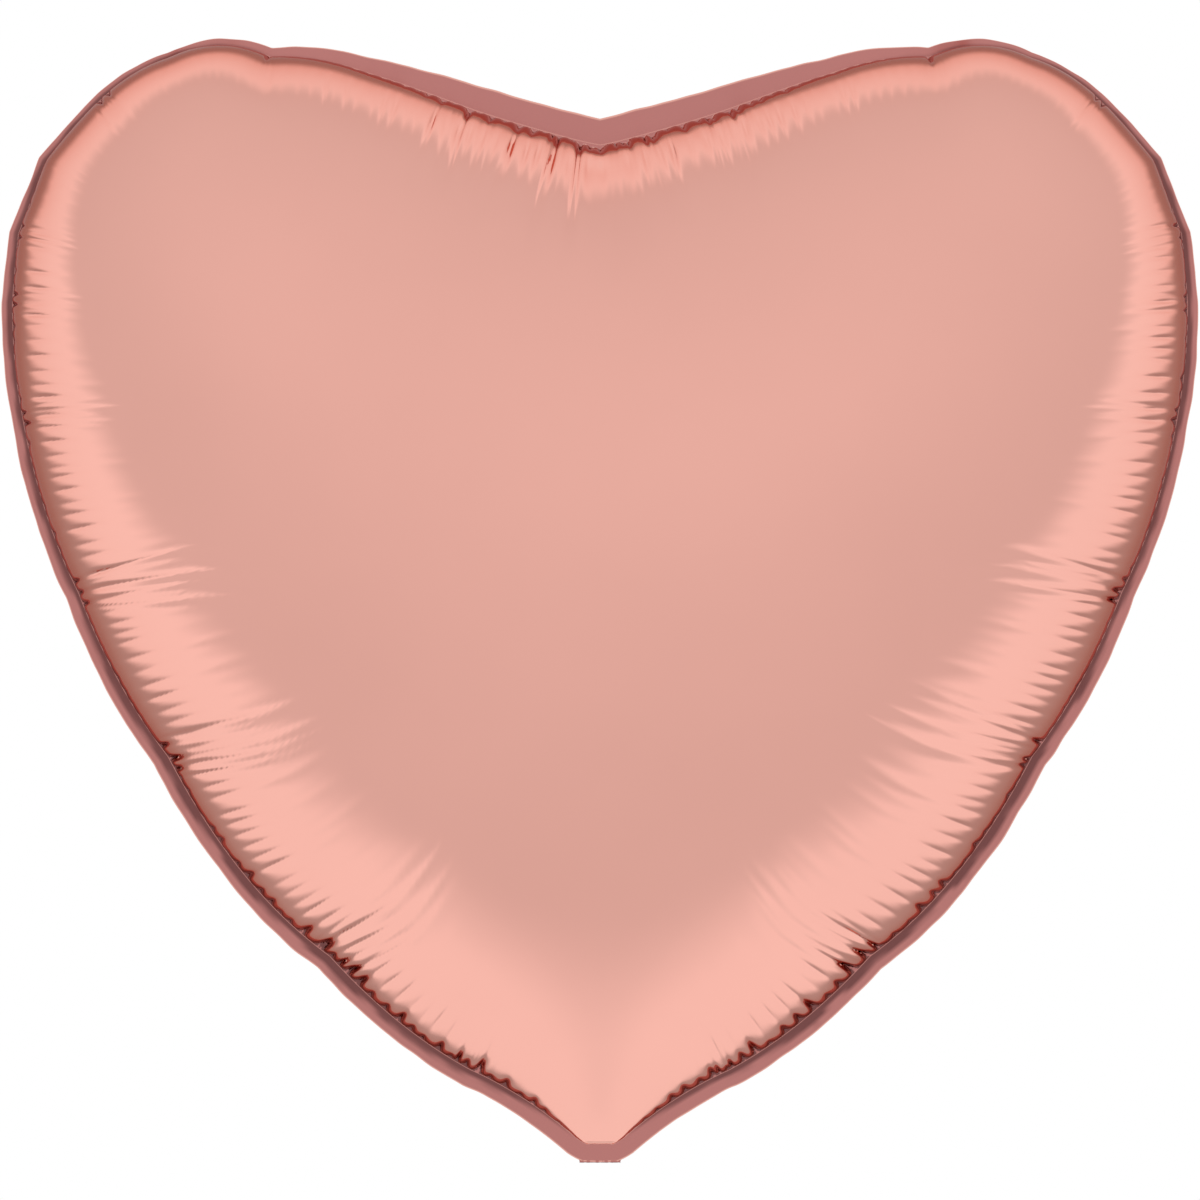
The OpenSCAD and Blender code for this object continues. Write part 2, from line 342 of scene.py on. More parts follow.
class Puckers:
    """How the puckers change the smooth dome, for each spoke and distance from the seam.
    delay is how much later than at the smooth seam the film lifts off, and sink is how much
    lower it then lies in a streak, both in mm."""

    def __init__(self, outline, distance, seed, sizes):
        self.outline = outline
        self.distance = distance
        self.delay = np.zeros_like(distance)
        self.sink = np.zeros_like(distance)
        self.random = np.random.default_rng(seed)
        self.strength = sizes.pucker_strength
        self._fine_puckers(sizes.pucker_pitch / MM)
        self._corner_creases()

    def _columns(self, run, half_width, reach, fan, power):
        """The spokes near a valley, and how fully each of their points lies in it."""
        outline = self.outline
        spacing = outline.length / outline.spokes
        span = int((VALLEY_SPAN * half_width + abs(fan) * reach) / spacing) + 2
        columns = np.arange(-span, span + 1) + int(round(run / spacing))
        offset = columns * spacing - run
        columns %= outline.spokes
        distance = self.distance[:, columns]
        width = half_width * (1 + VALLEY_FLARE * distance / reach)
        across = np.abs(offset[None] - fan * distance) / width
        return columns, distance, np.exp(-(across**power)) * self.strength

    def fold(self, run, half_width, reach, late, fan=0.0):
        """Holds the film back in a narrow fold, which opens out inwards."""
        columns, distance, inside = self._columns(run, half_width, reach, fan, FOLD_POWER)
        drawn_in = smooth_step((distance - FOLD_CLEAR) / FOLD_START)
        tightness = FOLD_LEAST + (1 - FOLD_LEAST) * drawn_in
        along = tightness * np.clip(1 - (distance / reach) ** 2, 0, 1) ** 1.5
        self.delay[:, columns] += inside * late * along

    def notch(self, run, half_width, length, fan=0.0):
        """Holds the film down on the rim's plane for this length, in a sharp cusp."""
        columns, distance, inside = self._columns(
            run, half_width, 2 * length, fan, NOTCH_POWER)
        self.delay[:, columns] += inside * length * np.exp(-((distance / (1.5 * length)) ** 4))

    def streak(self, run, half_width, start, reach, depth, fan=0.0):
        """A long shallow groove that begins a little way in from the seam."""
        columns, distance, inside = self._columns(run, half_width, reach, fan, STREAK_POWER)
        along = smooth_step(distance / start) * np.clip(1 - (distance / reach) ** 2, 0, 1)
        self.sink[:, columns] += inside * depth * along

    def _fine_puckers(self, pitch):
        """Sets a fold, a notch and a streak at uneven steps of about this pitch all round."""
        outline, random = self.outline, self.random
        columns = (REACH, STREAK, FOLD, NOTCH, LEAN, SPACING)
        reach, streak, fold, notch, lean, spacing = (outline.per_corner(c) for c in columns)
        lean = lean * outline.side_sign()
        run = 0.0
        while run < outline.length:
            here = int(run * outline.spokes / outline.length)
            step = pitch * spacing[here]
            fan = lean[here] + random.normal() * 0.02
            self.fold(run, FOLD_WIDTH, FOLD_REACH, fold[here] * random.uniform(0.4, 1.3), fan)
            if notch[here] > 0:
                self.notch(run, NOTCH_WIDTH, notch[here] * random.uniform(0.3, 1.3), fan)
            self.streak(
                run + random.normal() * 0.1 * step,
                half_width=STREAK_SHARE * step * random.uniform(0.8, 1.2),
                start=reach[here] * random.uniform(0.22, 0.40),
                reach=reach[here] * random.uniform(0.65, 1.1),
                depth=streak[here] * random.uniform(0.4, 1.3),
                fan=fan,
            )
            run += step * random.uniform(0.78, 1.22)

    # Creases that gather at a corner: which corner, reach in mm, number, depth in mm, how far
    # the longest notches the seam in mm, and the width in mm that they spread over.
    GATHERS = (
        (0, 42, 12, 1.1, 3.5, 34),
        (1, 34, 7, 0.9, 3.0, 18),
        (3, 18, 4, 0.7, 3.0, 5),
        (5, 18, 5, 0.7, 3.0, 6),
        (7, 24, 6, 0.7, 2.5, 7),
        (8, 26, 5, 0.7, 2.5, 6),
        (9, 38, 7, 0.8, 3.0, 7),
        (10, 54, 8, 0.9, 3.5, 9),
        (11, 60, 10, 0.9, 4.0, 13),
        (12, 50, 10, 0.8, 5.0, 15),
        (13, 26, 5, 0.5, 3.0, 9),
    )
    CREASE_WIDTHS = (0.45, 0.75)      # mm, half width of a crease: least and most
    CUSP_WIDTHS = (0.28, 0.42)        # mm, the same for the notch at its foot
    CREASE_START = 4.0                # mm in from the seam at which a crease has its full depth
    CREASE_FAN = 0.3                  # most by which the outer creases splay
    HOLLOW_WIDTH = 5.0                # mm, half width of the hollow that a corner's creases share
    HOLLOW_DEPTH = 0.6                # of it, as a share of theirs

    def _corner_creases(self):
        """Gathers creases at each corner of the outline, with a notch under every third."""
        outline, random = self.outline, self.random
        lean = outline.per_corner(LEAN) * outline.side_sign()
        for corner, reach, count, depth, notch, spread in self.GATHERS:
            foot = outline.corner_run[corner]
            for side_foot in sorted({foot, outline.length - foot}):
                self.fold(side_foot, self.HOLLOW_WIDTH, reach, self.HOLLOW_DEPTH * depth)
                for crease in range(count):
                    place = (crease + 0.5) / count - 0.5 + random.normal() * 0.08
                    run = side_foot + place * spread
                    here = int(run * outline.spokes / outline.length) % outline.spokes
                    fan = lean[here] + place * random.uniform(0.0, self.CREASE_FAN)
                    self.streak(
                        run,
                        half_width=random.uniform(*self.CREASE_WIDTHS),
                        start=self.CREASE_START,
                        reach=reach * random.uniform(0.7, 1.15),
                        depth=depth * random.uniform(0.5, 1.1),
                        fan=fan,
                    )
                    if crease % 3 == 1:
                        width = random.uniform(*self.CUSP_WIDTHS)
                        self.notch(run, width, notch * random.uniform(0.5, 1.0), fan)


# ---- Meshes ----


def ring_edges(bm, ring):
    """The edges between each vertex of a closed ring and the next."""
    return [bm.edges.get((a, b)) for a, b in zip(ring, ring[1:] + ring[:1])]


def next_ring(bm, ring):
    """Extrudes a closed ring of vertices once and returns the new ring in the same order."""
    made = bmesh.ops.extrude_edge_only(bm, edges=ring_edges(bm, ring))["geom"]
    new = {part for part in made if isinstance(part, bmesh.types.BMVert)}
    return [next(e.other_vert(v) for e in v.link_edges if e.other_vert(v) in new) for v in ring]


class FilmMesh:
    """A bmesh of film, whose points carry what the film's material needs: how far it is
    welded, how far it is painted dark with the shade of the crevice along the seam, and its place
    along and in from the seam, in mm."""

    def __init__(self):
        self.bm = bmesh.new()
        self.weld = self.bm.verts.layers.float.new("weld")
        self.painted_shade = self.bm.verts.layers.float.new("painted_shade")
        self.place = self.bm.verts.layers.float_vector.new("seam_place")

    def set_ring(self, ring, points, weld, painted_shade, place):
        """Moves a ring's vertices to these points, in mm, and sets what they carry."""
        for vert, *values in zip(ring, points * MM, weld, painted_shade, place):
            vert.co = values[0]
            vert[self.weld] = values[1]
            vert[self.painted_shade] = values[2]
            vert[self.place] = values[3]

    def finished(self, name):
        return finished_piece(self.bm, name)


def finished_piece(bm, name):
    """The bmesh as a smooth-shaded object in the scene, with its faces turned outwards."""
    bmesh.ops.recalc_face_normals(bm, faces=bm.faces)
    mesh = bpy.data.meshes.new(name)
    bm.to_mesh(mesh)
    bm.free()
    mesh.shade_smooth()
    piece = bpy.data.objects.new(name, mesh)
    bpy.context.scene.collection.objects.link(piece)
    return piece


def turn_outwards(piece, outward):
    """Turns the piece's faces if they point away from this direction on average."""
    normals = np.empty(len(piece.data.polygons) * 3)
    piece.data.polygons.foreach_get("normal", normals)
    if (normals.reshape(-1, 3) @ np.array(outward)).sum() < 0:
        piece.data.flip_normals()


# Shares of the flat rim's width at which its rows lie, from the cut edge to the lift-off.
RIM_ROWS = (0.0, 0.07, 0.35, 0.6, 0.8, 0.96, 1.0)
# Shares of a spoke at which the rings lie, as (first, last, number, every how many spokes).
RING_SETS = (
    (0.0, 0.175, 24, 1),
    (0.175, 0.34, 9, 2),
    (0.34, 0.58, 8, 4),
    (0.58, 0.90, 8, 8),
    (0.90, 0.99, 5, 16),
)
SEAM_PACKING = 1.9       # how much closer together the first set's rings lie at the seam
FINEST_STEP = 2          # puckers are drawn where at least every second spoke has a column


def ring_shares():
    """(share, step) for each ring of the dome, from the seam inwards."""
    out = []
    for first, last, number, step in RING_SETS:
        for k in range(number):
            part = (k + 1) / number
            if first == 0.0:
                part = part**SEAM_PACKING
            out.append((first + (last - first) * part, step))
    return out


CALM_TIP = 17.0          # mm from the tip within which the rim lies flat over the valve
TIP_LAP = 0.12           # mm by which the films lap over the valve's ends at the tip
# Unevenness round the rim, as (width of its features, mean height), in mm.
EDGE_WAVES = (2.5, 0.10)
RIM_RIPPLES = ((2.2, 0.14), (9.0, 0.10))
LINE_WAVES = (3.0, 0.18)                   # of the painted shade line, as a share of its thickness
RIPPLE_FADE = 1.2        # how fast the ripples die away from the cut edge to the seam


class Shape:
    """What the two films share: the rippled rim, and the rings and heights of the dome."""

    def __init__(self, sizes):
        self.rim_width = sizes.rim_width / MM
        outline = self.outline = Outline(sizes.spokes)
        random = np.random.default_rng(11)
        lively = smooth_step((np.linalg.norm(outline.points, axis=1) - CALM_TIP) / CALM_TIP)
        unevenness = outline.noise(random, *EDGE_WAVES) * lively - TIP_LAP * (1 - lively)
        self.rim = outline.points + outline.inward(EDGE_SMOOTHING) * unevenness[:, None]
        self.ripple = sum(outline.noise(random, *waves) for waves in RIM_RIPPLES) * lively
        # Thickness of the painted shade line along the seam, in mm.
        self.line = outline.per_corner(SHADE_LINE) * (1 + outline.noise(random, *LINE_WAVES))
        self.dome = Dome(outline, self.rim_width)
        self.skin = SEAM_HIGH[1] / MM + sizes.film_thickness / MM
        self.depth = -PANEL_LOW[1] / MM - self.skin
        self.shares = ring_shares()
        self.plans = [self.dome.plan(share) for share, step in self.shares]
        self.distance = [np.linalg.norm(plan - self.dome.root, axis=1) for plan in self.plans]
        steps = [step for share, step in self.shares]
        swells = [self.dome.swell(plan[::step]) for plan, step in zip(self.plans, steps)]
        core = self.dome.swell(self.dome.core[None])[0]
        highest = max(core, max(swell.max() for swell in swells))
        self.heights = [swell / highest * self.depth for swell in swells]
        self.core_height = core / highest * self.depth

    def rim_row(self, part, skin):
        """The points of the flat rim at this share of its width, on this side's skin, in mm."""
        flat = self.rim + (self.dome.root - self.rim) * part
        lift = skin + self.ripple * (1 - part) ** RIPPLE_FADE
        return np.stack([flat[:, 0], lift, flat[:, 1]], axis=1)

    def seam_place(self, away, step=1):
        """Each point's place on a cylinder round which the rim is wrapped, in mm, so that a
        pattern along the seam has no join: two numbers round it, and the distance inwards."""
        turn = 2 * math.pi * self.outline.run[::step] / self.outline.length
        radius = self.outline.length / (2 * math.pi)
        away = np.broadcast_to(away, turn.shape)
        return np.stack([radius * np.cos(turn), radius * np.sin(turn), away], axis=1)


# The dark line along the seam is painted shade: a dark tint for the shade in the crevice where the
# film lifts off the rim.
SHADE_AND_WELD_SOFTNESS = 0.3     # mm over which the dark painted shade and the weld's tint fade at the lift-off
LINE_SOFTNESS = 1.1      # mm over which the painted shade line's outer edge fades, as wide as the rows allow
LINE_SPREAD = 0.7        # share of that fade which lies beyond the line
FULL_LINE = 0.6          # mm of thickness from which the painted shade line has its full darkness
PAINTED_SHADE_HEIGHT = 0.6       # mm above the rim at which the painted shade has ended


def film_piece(name, shape, side, seed, sizes):
    """One film. side is -1 for the front film and 1 for the back one."""
    outline, skin = shape.outline, side * shape.skin
    near = [i for i, (share, step) in enumerate(shape.shares) if step <= FINEST_STEP]
    puckers = Puckers(outline, np.stack([shape.distance[i] for i in near]), seed, sizes)
    film = FilmMesh()
    bm = film.bm
    ring = bmesh.ops.create_circle(bm, segments=outline.spokes, radius=1.0)["verts"]
    flat_width = np.linalg.norm(shape.dome.root - outline.points, axis=1)
    # The painted shade: a dark tint along the seam's crevice, shown as fully as the line is thick.
    shown = np.clip(shape.line / FULL_LINE, 0, 1)
    for row, part in enumerate(RIM_ROWS):
        if row > 0:
            ring = next_ring(bm, ring)
        outward = flat_width * (1 - part)
        on_rim = float(part < 1)      # the last row already belongs to the film that lifts off
        covered = smooth_step((shape.line - outward) / LINE_SOFTNESS + LINE_SPREAD)
        painted_shade = on_rim * shown * covered
        weld = np.full(outline.spokes, 0.5 + 0.5 * on_rim)
        film.set_ring(ring, shape.rim_row(part, skin), weld, painted_shade,
                      shape.seam_place(shape.rim_width * (part - 1)))
    last_step = 1
    for i, (share, step) in enumerate(shape.shares):
        ring = next_ring(bm, ring)
        if step != last_step:
            spare = {vert: ring[k - 1] for k, vert in enumerate(ring) if k % 2}
            bmesh.ops.weld_verts(bm, targetmap=spare)
            ring = ring[::2]
            last_step = step
        away = shape.distance[i][::step]
        height = shape.heights[i]
        flat, painted_shade = np.zeros(len(ring)), np.zeros(len(ring))
        if i < len(near):
            late = puckers.delay[i][::step]
            height = height * np.sqrt(np.clip(1 - late / np.maximum(away, 1e-6), 0, 1))
            height = np.maximum(height - puckers.sink[i][::step], 0)
            lifted = away - late
            line = shape.line[::step]
            flat = smooth_step(-lifted / SHADE_AND_WELD_SOFTNESS)
            # Painted shade in the crevice at the lift-off line, fading out where the film stands
            # clear of the rim.
            painted_shade = smooth_step((lifted + line) / SHADE_AND_WELD_SOFTNESS + 1) * shown[::step]
            painted_shade *= smooth_step(1 - height / PAINTED_SHADE_HEIGHT)
        plan = shape.plans[i][::step]
        points = np.stack([plan[:, 0], skin + side * height, plan[:, 1]], axis=1)
        film.set_ring(ring, points, flat, painted_shade, shape.seam_place(away, step))
    cap = bmesh.ops.contextual_create(bm, geom=ring_edges(bm, ring))["faces"]
    crown = bmesh.ops.poke(bm, faces=cap)["verts"][0]
    core = shape.dome.core
    crown.co = Vector((core[0], skin + side * shape.core_height, core[1])) * MM
    crown[film.place] = (0, 0, shape.distance[-1].max())
    piece = film.finished(name)
    turn_outwards(piece, (0, side, 0))
    return piece


SEAM_STEP = 2            # the fused seam has a column for every second spoke
SEAM_SHARE = 0.8         # its outer faces, as a share of the way to the films' outer faces
VALVE_OPENING = 3        # top of its opening for the valve, over the height of the lift-off there


def seam_piece(name, shape):
    """The fused sealant between the two films all round the rim, open where the valve leaves."""
    bm = bmesh.new()
    skin = shape.skin * SEAM_SHARE
    rows = [shape.rim_row(part, -skin) for part in reversed(RIM_ROWS)]
    rows += [shape.rim_row(part, skin) for part in RIM_ROWS]
    columns = len(rows[0][::SEAM_STEP])
    ring = first = bmesh.ops.create_circle(bm, segments=columns, radius=1.0)["verts"]
    for row, points in enumerate(rows):
        if row > 0:
            ring = next_ring(bm, ring)
        for vert, point in zip(ring, points[::SEAM_STEP] * MM):
            vert.co = point
    bmesh.ops.bridge_loops(bm, edges=ring_edges(bm, ring) + ring_edges(bm, first))
    half, top = VALVE_HIGH[0], shape.dome.root_low * VALVE_OPENING * MM
    inside = [f for f in bm.faces if abs(f.calc_center_median().x) < half
              and f.calc_center_median().z < top]
    bmesh.ops.delete(bm, geom=inside, context="FACES")
    bmesh.ops.edgeloop_fill(bm, edges=[e for e in bm.edges if e.is_boundary])
    return finished_piece(bm, name)


TAIL_COLUMNS, TAIL_ROWS = 44, 96
TAIL_TILT = math.atan2(TAIL_HIGH[1], TAIL_HIGH[2])   # of the folded tail from the vertical
BEND_RADIUS = 0.2        # mm, middle of the crease
OVERLAP = 0.9            # mm of tail that lies on the rim, above the crease
TAIL_LENGTH = 40.0       # mm from the crease
TAIL_HALF = 10.5         # mm, half its width
NECK_HALF = 6.5          # mm, half its width at the crease
NECK_START = 0.7         # mm from the crease at which it starts to widen
SHOULDER = 10.5          # mm from the crease at which it has its full width
CORNER_RADIUS = 4.2      # mm
SIDE_WELD, TAB_WELD = 3.0, 13.0                  # mm, widths of the side welds and the end's
SEAL_SHARE = 1.8         # the weld's thickness, as a share of the gap to either film's inside
TIE_HOLE = (33.5, 2.0)   # mm from the crease, and radius
FILL_HOLE = (21.0, 4.0)
HOLE_SNAP = 0.6          # mm round a hole within which the mesh's edge is drawn onto it
CHANNEL_SWELL = 0.35     # mm by which each film stands off in the open channel
CHANNEL_START = 2.0      # mm from the crease at which the channel starts to open
CHANNEL_FULLNESS = 0.6   # how soon it is fully open: the lower, the sooner
SEAL_START = 1.0         # mm from the crease at which the weld parts round the channel
WELD_SOFTNESS = 0.3      # mm over which a weld's edge fades
BEYOND_SEAM = 60.0       # mm, so far in that no draw line or pale edge shows on the tail
CRINKLES = 7             # number of small waves in the limp film
CRINKLE_DEPTH = 0.045    # mm, of each
CRINKLE_ALONG, CRINKLE_ACROSS = 3.1, 6           # how tightly they follow each other
FREE_START, FREE_LENGTH = 3, 20                  # mm from the crease, and mm over which they grow
BOW = (0.25, 7.5, 0.8)   # slow bow along the tail: depth in mm, mm for each radian, and phase
CUP = (0.02, 4)          # how far its sides stand up, in mm, at this many mm from its middle
FURROWS = ((0.05, 2.4, 0.6), (0.04, 4.1, 2.0))   # at the crease: depth in mm, tightness, phase
FURROW_MIDDLE, FURROW_LENGTH = 2.5, 4            # mm from the crease, and mm


class Tail:
    """The flat fill tail: its outline, the crease it hangs from and the holes through it. A
    place on it is (x, run), in mm, where run is the distance from the crease, negative on the
    rim above it."""

    def __init__(self):
        random = np.random.default_rng(5)
        self.waves = [(random.uniform(0.08, 0.30), random.uniform(0, 2 * math.pi),
                       random.uniform(-0.35, 0.35)) for k in range(CRINKLES)]

    @staticmethod
    def half_width(run):
        """Half the tail's width at this distance from the crease."""
        centre = TAIL_HALF - CORNER_RADIUS
        off_side, off_neck = centre - NECK_HALF, SHOULDER - NECK_START
        reach = math.hypot(off_side, off_neck)
        slant = math.asin(CORNER_RADIUS / reach) + math.atan2(off_side, off_neck)
        touch = SHOULDER - CORNER_RADIUS * math.sin(slant)
        if run < touch:
            return NECK_HALF + max(run - NECK_START, 0) * math.tan(slant)
        beyond = max(SHOULDER - run, run - (TAIL_LENGTH - CORNER_RADIUS), 0)
        return centre + math.sqrt(max(CORNER_RADIUS**2 - beyond**2, 0))

    @staticmethod
    def frame_at(run):
        """Where the tail's middle layer is at this distance, and the way out of its front."""
        sine, cosine = math.sin(TAIL_TILT), math.cos(TAIL_TILT)
        reach = BEND_RADIUS / math.tan(TAIL_TILT / 2)    # from the crease to the bend's ends
        arc = BEND_RADIUS * (math.pi - TAIL_TILT)
        if run <= -reach:
            return Vector((0, 0, -run)), Vector((0, -1, 0))
        if run >= arc - reach:
            beyond = reach + run - (arc - reach)
            return Vector((0, sine, cosine)) * beyond, Vector((0, cosine, -sine))
        angle = (run + reach) / BEND_RADIUS
        out = Vector((0, -math.cos(angle), -math.sin(angle)))
        return Vector((0, BEND_RADIUS, reach)) + out * BEND_RADIUS, out

    def ripple(self, x, run):
        """How far the limp tail stands off its flat plane here."""
        free = min(max((run - FREE_START) / FREE_LENGTH, 0), 1)
        crinkle = sum(
            math.sin(rate * (run * CRINKLE_ALONG + slant * x * CRINKLE_ACROSS) + phase)
            * CRINKLE_DEPTH
            for rate, phase, slant in self.waves
        )
        depth, length, phase = BOW
        bow = depth * math.sin(run / length + phase)
        height, off_middle = CUP
        cup = height * (x / off_middle) ** 2
        near_crease = math.exp(-((run - FURROW_MIDDLE) / FURROW_LENGTH) ** 2)
        furrows = sum(depth * math.sin(x * rate + phase) for depth, rate, phase in FURROWS)
        return free * (crinkle + bow + cup) + near_crease * furrows

    @staticmethod
    def swell(x, run):
        """How far a film stands off the middle in the channel between the welds."""
        across = 1 - (x / (TAIL_HALF - SIDE_WELD)) ** 2
        start, end = CHANNEL_START, TAIL_LENGTH - TAB_WELD
        along = (run - start) / (end - start)
        if across <= 0 or not 0 < along < 1:
            return 0.0
        return CHANNEL_SWELL * across * math.sin(math.pi * along) ** CHANNEL_FULLNESS

    def sheet(self, name, offset, thickness, holes, is_film):
        """One layer of the tail: a film, which swells over the channel, or the weld between the
        films, which is open there. offset is its place behind the tail's middle, in mm."""
        film = FilmMesh()
        bm = film.bm
        bmesh.ops.create_grid(bm, x_segments=TAIL_COLUMNS, y_segments=TAIL_ROWS, size=1.0)
        for vert in bm.verts:
            run = -OVERLAP + (TAIL_LENGTH + OVERLAP) * (vert.co.y + 1) / 2
            vert.co = (vert.co.x * self.half_width(run), run, 0)
        if not is_film:
            channel = [f for f in bm.faces if abs(f.calc_center_median().x) < TAIL_HALF - SIDE_WELD
                       and SEAL_START < f.calc_center_median().y < TAIL_LENGTH - TAB_WELD]
            bmesh.ops.delete(bm, geom=channel, context="FACES")
        for middle, radius in holes:
            centre = Vector((0, middle, 0))
            inside = [f for f in bm.faces if (f.calc_center_median() - centre).length < radius]
            bmesh.ops.delete(bm, geom=inside, context="FACES")
            for vert in bm.verts:
                from_centre = vert.co - centre
                if vert.is_boundary and from_centre.length < radius + HOLE_SNAP:
                    vert.co = centre + from_centre.normalized() * radius
        bmesh.ops.solidify(bm, geom=bm.faces[:], thickness=thickness)
        layers = [vert.co.z for vert in bm.verts]
        lift = offset - (min(layers) + max(layers)) / 2
        for vert in bm.verts:
            x, run, layer = vert.co
            edge = self.half_width(run) - abs(x)
            at_side = 1 - smooth_step((edge - SIDE_WELD) / WELD_SOFTNESS + 0.5)
            at_end = smooth_step((run - TAIL_LENGTH + TAB_WELD) / WELD_SOFTNESS + 0.5)
            welded = max(at_side, at_end)
            vert[film.weld] = float(welded) if run > 0 else 1.0
            vert[film.place] = (x, run, BEYOND_SEAM)
            stand = layer + lift + self.ripple(x, run)
            if is_film:
                stand += self.swell(x, run) * (1 if offset > 0 else -1)
            middle, out = self.frame_at(run)
            vert.co = (Vector((x, 0, 0)) + middle - out * stand) * MM
        return finished_piece(bm, name)


# ---- Materials ----


def add_node(tree, kind, settings=None, inputs=None):
    """Adds a node, sets its own settings, and fills or links its inputs by name or number."""
    node = tree.nodes.new(kind)
    for key, value in (settings or {}).items():
        setattr(node, key, value)
    for key, value in (inputs or {}).items():
        if isinstance(value, bpy.types.NodeSocket):
            tree.links.new(value, node.inputs[key])
        else:
            node.inputs[key].default_value = value
    return node


def new_material(name):
    """A material of this name, and its node tree, which is empty."""
    material = bpy.data.materials.new(name)
    material.use_nodes = True
    material.node_tree.nodes.clear()
    return material, material.node_tree


def finish_material(tree, shader):
    """Links the shader to the material's output."""
    add_node(tree, "ShaderNodeOutputMaterial", inputs={"Surface": shader.outputs[0]})


DRAW_LINE_WIDTH = 1.1    # mm across the fine draw lines that run in from the seam
DRAW_LINE_LENGTH = 16    # mm along them
DRAW_LINE_HEIGHT = 0.035 # mm
DRAW_LINE_REACH = 34     # mm in from the seam at which they have faded out
PALE_EDGE = 0.35         # mm of clear film that shows along the rim's cut edge
# Patterns, as features to the metre.
LACQUER_DAPPLES = 14.0   # each about 70 mm across
FILM_HAZE = 120.0        # clouds about 8 mm across
SEALANT_WAVES = 600.0    # about 1.7 mm apart
INK_GRAIN = 1500.0       # about 0.7 mm, coarser than a real screen's mesh so that it shows


def metallised_film(colours, sizes):
    """Nylon film with vacuum-laid aluminium under a rose-gold lacquer: a soft mirror with a
    clear skin, drawn into fine lines near the seam, and duller and darker where the heat seal
    has pressed it. A dark line of painted shade along the seam stands in for the shade in the
    crevice where the film lifts off the rim."""
    material, tree = new_material("metallised nylon film, rose-gold lacquer")
    rim = sizes.rim_width / MM
    weld, painted_shade, seam_place = (
        add_node(tree, "ShaderNodeAttribute", {"attribute_name": name}).outputs[output]
        for name, output in (("weld", "Fac"), ("painted_shade", "Fac"), ("seam_place", "Vector"))
    )
    away = add_node(tree, "ShaderNodeSeparateXYZ", inputs={0: seam_place}).outputs["Z"]
    place = add_node(tree, "ShaderNodeTexCoord")

    # The lacquer's thickness drifts over some centimetres, which shifts its tint by a hair.
    dapple = add_node(
        tree, "ShaderNodeTexNoise", {"noise_dimensions": "3D"},
        {"Vector": place.outputs["Object"], "Scale": LACQUER_DAPPLES, "Detail": 3.0},
    )
    shade = add_node(
        tree, "ShaderNodeMapRange",
        inputs={"Value": dapple.outputs[0], "From Min": 0.3, "From Max": 0.7,
                "To Min": 0.97, "To Max": 1.0},
    )
    sealed = add_node(
        tree, "ShaderNodeMix", {"data_type": "RGBA"},
        {"Factor": weld, 6: tuple(colours.foil), 7: tuple(colours.weld)},
    )
    # Paints the shade of the crevice along the seam as a dark tint.
    with_painted_shade = add_node(
        tree, "ShaderNodeMix", {"data_type": "RGBA"},
        {"Factor": painted_shade, 6: sealed.outputs[2], 7: tuple(colours.painted_shade_tint)},
    )
    cut_edge = add_node(
        tree, "ShaderNodeMapRange", {"interpolation_type": "SMOOTHSTEP"},
        {"Value": away, "From Min": PALE_EDGE * 0.5 - rim, "From Max": PALE_EDGE * 1.5 - rim,
         "To Min": 1.0, "To Max": 0.0},
    )
    edged = add_node(
        tree, "ShaderNodeMix", {"data_type": "RGBA"},
        {"Factor": cut_edge.outputs[0], 6: with_painted_shade.outputs[2], 7: tuple(colours.foil)},
    )
    tint = add_node(
        tree, "ShaderNodeMix", {"data_type": "RGBA", "blend_type": "MULTIPLY"},
        {"Factor": 1.0, 6: edged.outputs[2], 7: shade.outputs[0]},
    )

    stretch = add_node(
        tree, "ShaderNodeMapping",
        inputs={"Vector": seam_place,
                "Scale": (1 / DRAW_LINE_WIDTH, 1 / DRAW_LINE_WIDTH, 1 / DRAW_LINE_LENGTH)},
    )
    lines = add_node(
        tree, "ShaderNodeTexNoise", {"noise_dimensions": "3D"},
        {"Vector": stretch.outputs[0], "Scale": 1.0, "Detail": 2.0, "Roughness": 0.4},
    )
    fade = add_node(
        tree, "ShaderNodeMapRange", {"interpolation_type": "SMOOTHSTEP"},
        {"Value": away, "From Min": 2.0, "From Max": DRAW_LINE_REACH,
         "To Min": 1.0, "To Max": 0.0},
    )
    drawn = add_node(
        tree, "ShaderNodeBump",
        inputs={"Strength": fade.outputs[0], "Distance": DRAW_LINE_HEIGHT * MM,
                "Height": lines.outputs[0]},
    )
    dulled = add_node(tree, "ShaderNodeMath", {"operation": "MAXIMUM"}, {0: weld, 1: painted_shade})
    rough = add_node(
        tree, "ShaderNodeMapRange",
        inputs={"Value": dulled.outputs[0], "To Min": 0.11, "To Max": 0.30},
    )
    shader = add_node(
        tree, "ShaderNodeBsdfPrincipled",
        inputs={"Base Color": tint.outputs[2], "Metallic": 1.0, "Roughness": rough.outputs[0],
                "Specular Tint": linear("#D59C92"), "Normal": drawn.outputs[0],
                "Coat Weight": 0.12, "Coat Roughness": 0.05, "Coat IOR": 1.5},
    )
    finish_material(tree, shader)
    return material


def polyethylene_film(colours):
    """Blown polyethylene film: limp, milky and half clear, with a waxy gloss."""
    material, tree = new_material("blown polyethylene film")
    place = add_node(tree, "ShaderNodeTexCoord")
    haze = add_node(
        tree, "ShaderNodeTexNoise", {"noise_dimensions": "3D"},
        {"Vector": place.outputs["Object"], "Scale": FILM_HAZE, "Detail": 2.0},
    )
    tint = add_node(
        tree, "ShaderNodeMix", {"data_type": "RGBA"},
        {"Factor": haze.outputs[0], 6: tuple(colours.polyethylene), 7: linear("#F4F3F1")},
    )
    shader = add_node(
        tree, "ShaderNodeBsdfPrincipled",
        inputs={"Base Color": tint.outputs[2], "Roughness": 0.32, "IOR": 1.51, "Alpha": 0.55},
    )
    finish_material(tree, shader)
    return material


